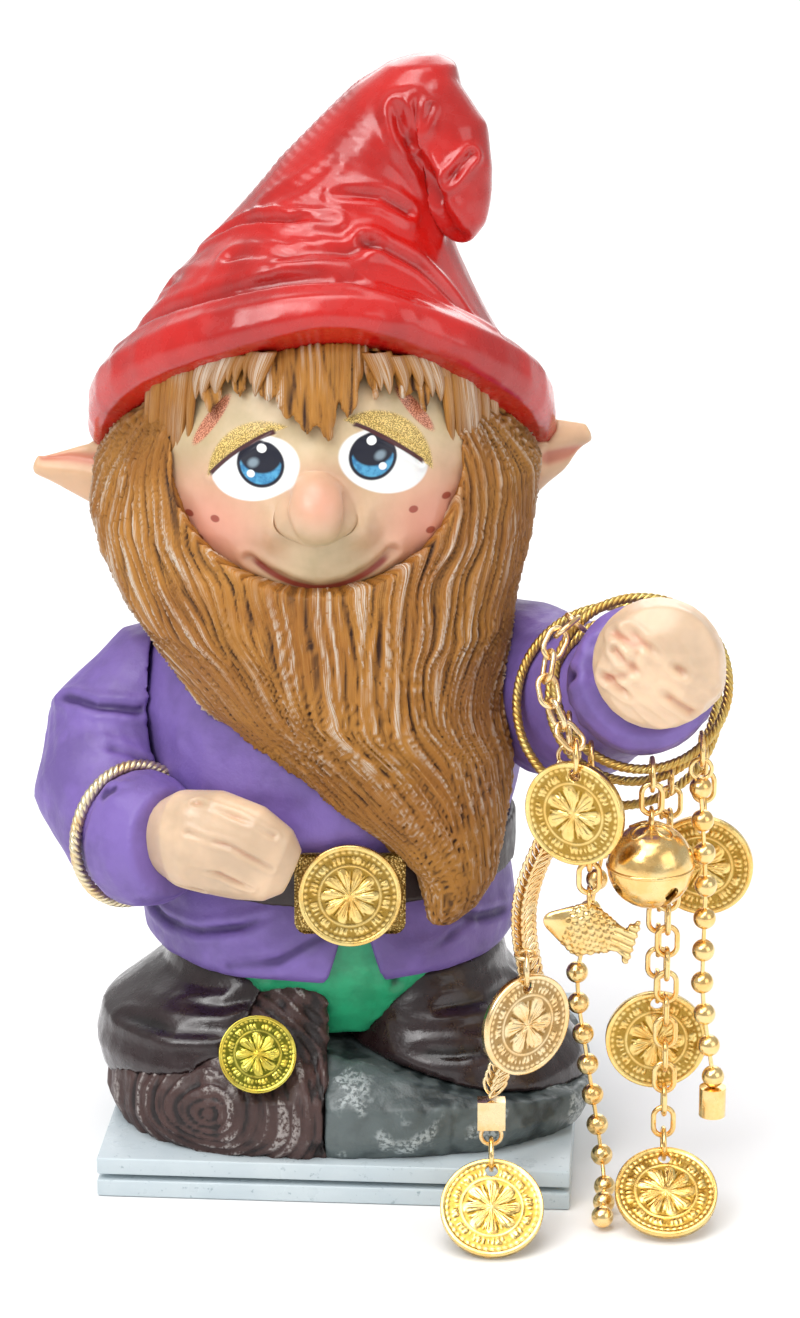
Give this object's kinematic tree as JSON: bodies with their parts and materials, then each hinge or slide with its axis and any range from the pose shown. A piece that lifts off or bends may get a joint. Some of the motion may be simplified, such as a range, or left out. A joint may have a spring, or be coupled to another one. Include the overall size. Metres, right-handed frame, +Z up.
{
  "type": "garden gnome figurine",
  "caption": "Standing garden gnome with a drooping red hat, long beard, violet coat and belt, on a log and rock base, with coins, a bell, a fish and chains hung from its raised wrist",
  "frame": {"origin": "centre of the underside of the plinth", "axes": "+Z up, the gnome faces -Y, its own left hand is at +X"},
  "size_m": [0.1211, 0.1051, 0.187],
  "materials": {
    "board": "pale grey-blue board with a smooth printed face",
    "board_core": "black core",
    "log_paint": "cast resin painted dark brown, dry-brushed grey",
    "rock_paint": "cast resin painted grey-green, dry-brushed white",
    "boot_paint": "cast resin painted near-black brown, semi-gloss",
    "trouser_paint": "cast resin painted emerald green, satin",
    "coat_paint": "cast resin painted violet, matt",
    "belt_paint": "cast resin painted dark brown, satin",
    "buckle_glitter": "cast resin with gold glitter paint",
    "green_gold": "green-gold stamped metal",
    "gold_cord": "braided metallic cord",
    "skin_paint": "cast resin painted pale peach, satin",
    "hair_paint": "cast resin painted ochre brown, dry-brushed white",
    "hat_paint": "cast resin painted glossy red",
    "steel": "plain steel",
    "gold": "bright gold-plated metal"
  },
  "bodies": {
    "root": {"plinth_top_leaf": "board", "plinth_core": "board_core", "plinth_bottom_leaf": "board", "base_log": "log_paint", "base_rock": "rock_paint", "right_boot": "boot_paint", "left_boot": "boot_paint", "trousers": "trouser_paint", "coat": "coat_paint", "belt": "belt_paint", "buckle_plate": "buckle_glitter", "buckle_coin": "gold", "log_coin": "green_gold", "right_sleeve": "coat_paint", "right_cuff": "coat_paint", "right_cuff_cord": "gold_cord", "right_hand": "skin_paint", "left_sleeve": "coat_paint", "left_cuff": "coat_paint", "left_hand": "skin_paint", "head": "skin_paint", "right_ear": "skin_paint", "left_ear": "skin_paint", "hair_fringe": "hair_paint", "beard": "hair_paint", "hat": "hat_paint", "wrist_chain": "gold", "wrist_cord_front": "gold_cord", "wrist_cord_middle": "gold_cord", "wrist_cord_back": "gold_cord"},
    "front_coin": {"front_coin_ring": "gold", "front_coin": "gold"},
    "bell": {"bell_chain": "gold", "bell_shell": "gold"},
    "bell_pellet_body": {"bell_pellet": "steel"},
    "fish_charm": {"fish_chain": "gold", "fish": "gold"},
    "wheat_strand": {"wheat_ring": "gold", "wheat_chain": "gold", "wheat_crimp": "gold"},
    "low_coin_charm": {"low_coin_ring": "gold", "low_coin": "gold"},
    "middle_coin_charm": {"middle_coin_ring": "gold", "middle_coin": "gold"},
    "long_ball_strand": {"long_ball_ring": "gold", "long_ball_chain": "gold"},
    "right_ball_strand": {"right_ball_ring": "gold", "right_ball_chain": "gold", "ball_coupling": "gold"},
    "curb_strand": {"curb_chain": "gold"},
    "curb_coin_charm": {"curb_coin_ring": "gold", "curb_coin": "gold"},
    "back_strand": {"back_chain": "gold"},
    "back_coin_charm": {"back_coin_ring": "gold", "back_coin": "gold"},
    "side_strand": {"side_chain": "gold"},
    "side_coin_charm": {"side_coin_ring": "gold", "side_coin": "gold"}
  },
  "joints": [
    {"name": "front_coin_swing", "type": "hinge", "parent": "root", "child": "front_coin", "pos_m": [0.03648, -0.05381, 0.08564], "axis": [-1, 0, 0], "range_deg": [0, 45]},
    {"name": "bell_swing", "type": "hinge", "parent": "root", "child": "bell", "pos_m": [0.04898, -0.0499, 0.0807], "axis": [-1, 0, 0], "range_deg": [0, 8]},
    {"name": "pellet_slide", "type": "slide", "parent": "bell", "child": "bell_pellet_body", "axis": [0, 0, 1], "range_m": [0, 0.006]},
    {"name": "fish_swing", "type": "hinge", "parent": "root", "child": "fish_charm", "pos_m": [0.0392, -0.04878, 0.08302], "axis": [-1, 0, 0], "range_deg": [-1, 3]},
    {"name": "wheat_swing", "type": "hinge", "parent": "root", "child": "wheat_strand", "pos_m": [0.0357, -0.04717, 0.08634], "axis": [-1, 0, 0], "range_deg": [0, 2]},
    {"name": "low_coin_swing", "type": "hinge", "parent": "wheat_strand", "child": "low_coin_charm", "pos_m": [0.0237, -0.04717, 0.01406], "axis": [-1, 0, 0], "range_deg": [0, 25]},
    {"name": "middle_coin_swing", "type": "hinge", "parent": "wheat_strand", "child": "middle_coin_charm", "pos_m": [0.0291, -0.05167, 0.04878], "axis": [-1, 0, 0], "range_deg": [0, 40]},
    {"name": "long_ball_swing", "type": "hinge", "parent": "root", "child": "long_ball_strand", "pos_m": [0.04228, -0.03451, 0.06927], "axis": [-1, 0, 0], "range_deg": [0, 4]},
    {"name": "right_ball_swing", "type": "hinge", "parent": "root", "child": "right_ball_strand", "pos_m": [0.05691, -0.04831, 0.08399], "axis": [-1, 0, 0], "range_deg": [-8, 25]},
    {"name": "curb_swing", "type": "hinge", "parent": "root", "child": "curb_strand", "pos_m": [0.05277, -0.03924, 0.07647], "axis": [-1, 0, 0], "range_deg": [0, 1.5]},
    {"name": "curb_coin_swing", "type": "hinge", "parent": "curb_strand", "child": "curb_coin_charm", "pos_m": [0.05277, -0.03924, 0.01212], "axis": [-1, 0, 0], "range_deg": [0, 20]},
    {"name": "back_swing", "type": "hinge", "parent": "root", "child": "back_strand", "pos_m": [0.05166, -0.0339, 0.07053], "axis": [-1, 0, 0], "range_deg": [0, 1]},
    {"name": "back_coin_swing", "type": "hinge", "parent": "back_strand", "child": "back_coin_charm", "pos_m": [0.05166, -0.0339, 0.03858], "axis": [-1, 0, 0], "range_deg": [-10, 4]},
    {"name": "side_swing", "type": "hinge", "parent": "root", "child": "side_strand", "pos_m": [0.05892, -0.03105, 0.07641], "axis": [-1, 0, 0], "range_deg": [-10, 0]},
    {"name": "side_coin_swing", "type": "hinge", "parent": "side_strand", "child": "side_coin_charm", "pos_m": [0.05892, -0.03105, 0.06868], "axis": [-1, 0, 0], "range_deg": [-10, 4]}
  ]
}
